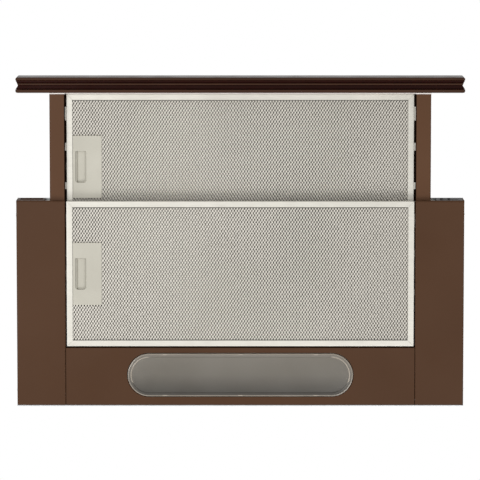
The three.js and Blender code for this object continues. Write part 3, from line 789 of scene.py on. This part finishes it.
def filter_latch(name, node):
    """The sliding plate behind the pocket, with a sloped finger edge and a bolt."""
    low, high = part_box(node)
    plate_low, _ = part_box(node.replace("latch", "handle"))
    middle = (low.y + high.y) / 2
    left, sheet = plate_low.x, 1.5 * MM
    shape = bmesh.new()
    add_block(shape, (left + 0.5 * MM, low.y, high.z - sheet), (high.x, high.y, high.z), 0.3 * MM)
    half = 5 * MM
    add_block(shape, (low.x, middle - half, high.z - sheet), (left + 2 * MM, middle + half, high.z), 0.3 * MM)
    rib = left + 3.7 * MM
    slope = [
        (rib, high.z - 1 * MM), (rib, low.z + 0.2 * MM), (rib + 0.2 * MM, low.z),
        (rib + 0.9 * MM, low.z + 0.1 * MM), (rib + 3.1 * MM, high.z - sheet),
        (rib + 3.1 * MM, high.z - 1 * MM),
    ]
    half = POCKET[1] / 2 - 0.4 * MM
    add_swept(shape, slope, middle - half, middle + half)
    finish_piece(name, shape, body_of(node), "handle_plastic", (node,), 30)


def grease_filter(word):
    """One of the two filters: two layers of mesh, foil behind them, frame, handle and latch."""
    mesh_node = f"{word}_filter_mesh"
    frame_node = f"{word}_filter_frame"
    body = body_of(mesh_node)
    low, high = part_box(mesh_node)
    under_frame = Vector((0.5, 0.5, 0)) * MM
    low, high = low - under_frame, high + under_frame
    handle_low, handle_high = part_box(f"{word}_filter_handle")
    notch = (handle_high.x + 0.5 * MM, handle_low.y - 0.1 * MM, handle_high.y + 0.1 * MM)
    expanded_sheet(
        f"{word}_filter_outer_mesh", body, low, high, notch, CELL, 0.92 * MM, low.z + 0.45 * MM,
        finishes["mesh_aluminium"], (mesh_node,),
    )
    wider = (CELL[0] * 1.012, CELL[1] * 1.009)  # so that the layers' openings don't line up
    # the inner layer takes the darker copy of the aluminium: painted shade
    expanded_sheet(
        f"{word}_filter_inner_mesh", body, low, high, notch, wider, 0.8 * MM, low.z + 1.7 * MM,
        inner_mesh_painted_shade,
    )
    wadding(f"{word}_filter_wadding", body, low, high, notch)
    filter_frame(f"{word}_filter_channel", frame_node)
    filter_handle(f"{word}_filter_grip", f"{word}_filter_handle")
    filter_latch(f"{word}_filter_catch", f"{word}_filter_latch")


def wadding(name, body, low, high, notch):
    """A crinkled foil sheet behind the mesh, coloured darker as painted shade."""
    step = 4 * MM
    columns = int((high.x - low.x) / step)
    rows = int((high.y - low.y) / step)
    draw = random.Random(7)
    shape = bmesh.new()
    grid = {}
    for i in range(columns + 1):
        for j in range(rows + 1):
            x = low.x + (high.x - low.x) * i / columns
            y = low.y + (high.y - low.y) * j / rows
            if x < notch[0] and notch[1] < y < notch[2]:
                continue
            z = high.z + (0.6 * (i % 2) + 0.5 * (j % 2) + draw.uniform(-0.25, 0.25)) * MM
            grid[i, j] = shape.verts.new((x, y, z))
    for i in range(columns):
        for j in range(rows):
            corners = [(i, j), (i + 1, j), (i + 1, j + 1), (i, j + 1)]
            if all(c in grid for c in corners):
                shape.faces.new([grid[c] for c in corners])
    finish_piece(name, shape, body, "mesh_aluminium", (), 60, wadding_painted_shade)


# ---------- the drawer's front and rails ----------
def smoothed(values, reach):
    """A running average that keeps the ends."""
    padded = np.pad(values, reach, mode="edge")
    return np.convolve(padded, np.ones(2 * reach + 1) / (2 * reach + 1), mode="valid")


def front_trim():
    """A glossy moulding with two grooves and a ridge below, waisted ends and a hollow back."""
    low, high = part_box("front_trim")
    depth = high.y - low.y
    stations = np.linspace(0, depth, 150)
    floor_line = [
        (0, 3), (1.2, 0.6), (3.6, 0), (4.4, 5), (7.2, 5), (7.9, 0.8), (10.1, 0.8), (10.8, 8),
        (15.6, 8), (16.3, 0), (20.5, 0.4),
    ]
    top_line = [(0, 42), (1, 46), (4, 48), (19.5, 48), (20.5, 47)]
    bottom = smoothed(np.interp(stations / MM, *zip(*floor_line)), 2) * MM + low.z
    top = smoothed(np.interp(stations / MM, *zip(*top_line)), 3) * MM + low.z
    corner, waist, waist_half = 2.4 * MM, 2.9 * MM, 6.5 * MM
    from_end = np.minimum(stations, depth - stations)
    rounding = corner - np.sqrt(corner**2 - np.clip(corner - from_end, 0, corner * 0.999) ** 2)
    middle = np.clip((stations - depth / 2) / waist_half, -1, 1)
    end = high.x - rounding - waist * 0.5 * (1 + np.cos(np.pi * middle))
    r = 0.35 * MM
    rings = []
    for y, x, z0, z1 in zip(stations + low.y, end, bottom, top):
        rings.append([
            (-x, y, z0 + r), (-x + r, y, z0), (x - r, y, z0), (x, y, z0 + r),
            (x, y, z1 - r), (x - r, y, z1), (-x + r, y, z1), (-x, y, z1 - r),
        ])
    hollow_half = 294 * MM
    hollow_low = (-hollow_half, low.y + 2.5 * MM, low.z + 11 * MM)
    hollow_high = (hollow_half, high.y + 1 * MM, high.z - 2.5 * MM)
    mesh = cut_box(skinned(rings), hollow_low, hollow_high)
    made = finish_piece("front_moulding", mesh, "drawer", "brown_gloss", ("front_trim",), 38)
    # material 1, a near-black copy of the gloss, is painted shade inside the grooves
    made.data.materials.append(brown_gloss("groove_painted_shade_gloss", (0.023, 0.003, 0.001), (0.028, 0.004, 0.0015)))
    grooves_from, grooves_to = 3 * MM, 17 * MM
    above_ridges, below_back = 1.6 * MM, 10 * MM
    # faces inside the two grooves take the painted shade
    for face in made.data.polygons:
        _, y, z = face.center
        if grooves_from < y - low.y < grooves_to and above_ridges < z - low.z < below_back:
            face.material_index = 1


def drawer_rail(word, side):
    """A folded channel, open inwards, with round bends."""
    node = f"drawer_rail_{word}"
    low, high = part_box(node)
    inner, outer = sorted((abs(low.x), abs(high.x)))
    sheet = 1 * MM
    h = sheet / 2
    path = [(inner, low.z + h), (outer - h, low.z + h), (outer - h, high.z - h), (inner, high.z - h)]
    shape = bmesh.new()
    add_swept(shape, folded(path, sheet, 1.7 * MM), low.y, high.y, side)
    finish_piece(f"rail_channel_{word}", shape, "drawer", "brown_paint", (node,), 32, rail_finish)


# ---------- the low box ----------
def side_cover(word, side):
    """Outer wall and bottom cover folded from one sheet, with an inner lip and a rounded front edge."""
    node = f"side_shell_{word}"
    low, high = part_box(node)
    inner, outer = sorted((abs(low.x), abs(high.x)))
    sheet = 1 * MM
    h = sheet / 2
    lip = 4.6 * MM
    path = [
        (inner + h, low.z + lip), (inner + h, low.z + h), (outer - h, low.z + h), (outer - h, high.z),
    ]
    shape = bmesh.new()
    bend = 2.8 * MM
    add_swept(shape, folded(path, sheet, 1.4 * MM), low.y + bend, high.y, side)
    x0, x1 = sorted((side * outer, side * (outer - sheet)))
    overlap = 0.2 * MM
    add_block(shape, (x0, low.y, low.z + bend), (x1, low.y + bend + overlap, high.z), 0.2 * MM)
    angles = [math.radians(90 * i / 6) for i in range(7)]
    centre_y, centre_z = low.y + bend, low.z + bend
    strip = [(centre_y - bend * math.cos(a), centre_z - bend * math.sin(a)) for a in angles]
    inside = bend - sheet
    strip += [(centre_y - inside * math.cos(a), centre_z - inside * math.sin(a)) for a in reversed(angles)]
    add_part(shape, skinned([[(side * x, y, z) for y, z in strip] for x in (inner + 0.1 * MM, outer)]))
    finish_piece(f"side_cover_{word}", shape, "casing", "brown_paint", (node,), 32)


def lamp_lens():
    """A frosted cover: a round-edged rim, a step inside it, a shallow dome and the wall that snaps in."""
    low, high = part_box("lens")
    length, width = high.x - low.x, high.y - low.y
    middle = (low.y + high.y) / 2
    profile = [
        (28.4, 0.55), (22, 0.6), (14, 0.75), (8, 1.0), (6.2, 1.2), (5.3, 1.15), (4.7, 0.5), (4.0, 0.12),
        (3.2, 0), (1.5, 0), (0.35, 0.25), (0, 0.9), (0, 1.9), (1.0, 2.4), (3.8, 2.6), (4.2, 6.5),
        (5.8, 6.5), (6.2, 2.4), (8, 2.2), (14, 2.0), (22, 1.9), (28.4, 1.85),
    ]  # inwards from the outline and up from the lowest face, in mm
    rings = []
    for inset, rise in profile:
        ring = stadium(length - 2 * inset * MM, width - 2 * inset * MM, middle, 40)
        rings.append([(x, y, low.z + rise * MM) for x, y in ring])
    cover = finish_piece("lamp_cover", skinned(rings), "lamp_lens", "lens_plastic", ("lens",), 35)
    cover.data.materials.append(lens_rim("lens_rim", 1.15))
    # material 2, a lighter copy of the rim plastic, is a painted highlight on the step where the lamps catch
    # it
    cover.data.materials.append(lens_rim("lens_step_painted_highlight", 1.7))
    straight = (length - width) / 2
    rim, step_from, step_to = 1.1 * MM, 3.9 * MM, 5.4 * MM
    outside = 1.6 * MM  # faces lower than this are outside, higher ones inside the cover
    for face in cover.data.polygons:
        x, y, z = face.center
        inset = width / 2 - math.hypot(max(abs(x) - straight, 0), y - middle)
        lit_end = abs(x) > straight - 12 * MM and y < middle + 10 * MM
        if z - low.z >= outside:
            continue
        if inset < rim:
            face.material_index = 1
        # the step's faces towards the front of either end take the painted highlight
        elif step_from < inset < step_to and lit_end:
            face.material_index = 2
    bumps = bmesh.new()
    apart, long_half, wide_half = 101 * MM, 3 * MM, 0.8 * MM
    for x in (-apart, 0, apart):
        for y in (low.y + 1.2 * MM, high.y - 1.2 * MM):
            start = (x - long_half, y - wide_half, low.z - 0.2 * MM)
            end = (x + long_half, y + wide_half, low.z + 1.2 * MM)
            add_block(bumps, start, end, 0.35 * MM)
    finish_piece("lamp_cover_snaps", bumps, "lamp_lens", "lens_plastic", (), 35, lens_rim("lens_snap", 1.6))


# ---------- fixings and folds on the outside ----------
def housing_folds():
    """The motor housing's corner flanges, its lid's edge and its stiffening beads."""
    low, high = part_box("motor_housing")
    shape = bmesh.new()
    strip, sheet = 16 * MM, 0.9 * MM
    bead_heights, bead_width, margin = (35 * MM, 100 * MM), 6 * MM, 30 * MM
    sunk, proud, bend = 1 * MM, 0.8 * MM, 0.75 * MM
    for side in (-1, 1):
        face = side * high.x
        x0, x1 = sorted((face - side * 0.3 * MM, face + side * sheet))
        for y0, y1 in ((low.y - 0.1 * MM, low.y + strip), (high.y - strip, high.y + 0.1 * MM)):
            add_block(shape, (x0, y0, low.z + 3 * MM), (x1, y1, high.z - 1 * MM), 0.3 * MM)
        x0, x1 = sorted((face - side * sunk, face + side * proud))
        for z in bead_heights:
            add_block(shape, (x0, low.y + margin, z), (x1, high.y - margin, z + bead_width), bend, 3)
    for face, direction in ((low.y, -1), (high.y, 1)):
        y0, y1 = sorted((face - direction * sunk, face + direction * proud))
        for z in bead_heights:
            add_block(shape, (low.x + margin, y0, z), (high.x - margin, y1, z + bead_width), bend, 3)
    edge = 12 * MM
    lid = [
        rectangle(low.x - 0.1 * MM, high.x + 0.1 * MM, low.y - 0.1 * MM, high.y + 0.1 * MM, 2 * MM),
        rectangle(low.x + edge, high.x - edge, low.y + edge, high.y - edge, 4 * MM)[::-1],
    ]
    add_plate(shape, lid, high.z - 0.3 * MM, high.z + sheet, 0.3 * MM)
    half, front, rear = 150 * MM, low.y + 24 * MM, high.y - 16 * MM
    inner_half, inner_front, inner_rear = half - bead_width, front + bead_width, rear - bead_width
    bead_round_lid = [
        rectangle(-half, half, front, rear, 20 * MM, steps=12),
        rectangle(-inner_half, inner_half, inner_front, inner_rear, 15 * MM, steps=12)[::-1],
    ]
    add_plate(shape, bead_round_lid, high.z - sunk, high.z + proud, bend, steps=3)
    finish_piece("housing_folds", shape, "casing", "galvanised_steel")


def outside_screws():
    """Pan-head screws in the housing, its foot, the collar, the brackets and the sides."""
    low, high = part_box("motor_housing")
    foot_low, foot_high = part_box("housing_frame")
    shape = bmesh.new()
    draw = random.Random(3)
    on_lid = high.z + 0.9 * MM

    def drive(place, direction, radius=3.3 * MM):
        """Puts a screw in, its recess turned at random."""
        add_screw(shape, place, direction, radius, draw.uniform(0, 1.5))

    for side in (-1, 1):
        for y in (low.y + 8 * MM, high.y - 8 * MM):
            for z in (18 * MM, 70 * MM, 122 * MM):
                drive((side * (high.x + 0.9 * MM), y, z), (side, 0, 0))
        for y in np.linspace(low.y + 12 * MM, high.y - 12 * MM, 4):
            drive((side * (foot_high.x - 7 * MM), y, foot_high.z), (0, 0, 1))
        for y in np.linspace(low.y + 40 * MM, high.y - 40 * MM, 3):
            drive((side * (high.x - 6 * MM), y, on_lid), (0, 0, 1))
        bracket_low, bracket_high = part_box("fixing_bracket_left" if side < 0 else "fixing_bracket_right")
        inner = min(abs(bracket_low.x), abs(bracket_high.x))
        for y in (bracket_low.y + 16 * MM, bracket_high.y - 16 * MM):
            drive((side * (inner + 9 * MM), y, bracket_low.z + 1.5 * MM), (0, 0, 1))
        for y in (0, 236 * MM):
            for z in (-10 * MM, -28 * MM):
                drive((side * (cad_high.x - 1.3 * MM), y, z), (side, 0, 0), 2.6 * MM)
    for x in np.linspace(low.x + 30 * MM, high.x - 30 * MM, 5):
        drive((x, foot_low.y + 5 * MM, foot_high.z), (0, 0, 1))
        drive((x, low.y + 6 * MM, on_lid), (0, 0, 1))
        drive((x, high.y - 6 * MM, on_lid), (0, 0, 1))
    collar_low, collar_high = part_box("outlet_collar")
    centre = (collar_low + collar_high) / 2
    ring = 69 * MM
    for degrees in (45, 135, 225, 315):
        angle = math.radians(degrees)
        place = (centre.x + ring * math.cos(angle), centre.y + ring * math.sin(angle), high.z + 2.3 * MM)
        drive(place, (0, 0, 1), 3.0 * MM)
    finish_piece("outside_screws", shape, "casing", "bright_steel", (), 35)


def outside_rivets():
    """Blind rivets along the rear wall and along the front of the drawer's lid."""
    rivets = bmesh.new()
    wall_low, wall_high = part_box("rear_wall")
    for x in np.linspace(wall_low.x + 24 * MM, wall_high.x - 24 * MM, 8):
        add_rivet(rivets, (x, wall_high.y - 0.6 * MM, wall_low.z + 9 * MM), (0, 1, 0), 2.4 * MM)
    finish_piece("rear_rivets", rivets, "casing", "bright_steel", (), 35)
    lid = bmesh.new()
    sheet_low, sheet_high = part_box("drawer_top_sheet")
    for x in np.linspace(sheet_low.x + 12 * MM, sheet_high.x - 12 * MM, 7):
        add_rivet(lid, (x, sheet_low.y + 6 * MM, sheet_high.z), (0, 0, 1), 1.8 * MM)
    finish_piece("lid_rivets", lid, "drawer", "bright_steel", (), 35)


make_camera()
make_stage()
front_trim()
for word, side in (("left", -1), ("right", 1)):
    drawer_rail(word, side)
    side_cover(word, side)
lamp_lens()
housing_folds()
outside_screws()
outside_rivets()
for word in ("drawer", "fixed"):
    grease_filter(word)

skins = {
    "brown_paint": ["lamp_panel", "front_cap", "drawer_top_sheet"],
    "galvanised_steel": [
        "deck_plate", "rear_wall", "motor_housing", "housing_frame", "fixing_bracket_left",
        "fixing_bracket_right", "motor_case", "motor_bracket",
    ],
    "black_plastic": [
        "control_panel", "switch_block", "microswitch", "light_slider", "speed_slider", "outlet_collar",
        "flap_front", "flap_rear", "cable_gland",
    ],
    "blower_plastic": ["scroll_shell", "scroll_cover", "impeller"],
    "nylon": ["rail_guide_left", "rail_guide_right", "rail_glide_left", "rail_glide_right"],
    "bulb_glass": ["bulb_left", "bulb_right"],
    "bright_steel": ["motor_shaft", "flap_pin"],
    "white_enamel": ["lamp_tray"],
    "white_plastic": ["lamp_holder_left", "lamp_holder_right", "capacitor", "terminal_box"],
}
for slot, names in skins.items():
    for name in names:
        refined(name, slot)
refined("drawer_front_bar", "pale_aluminium", material=cream_paint())
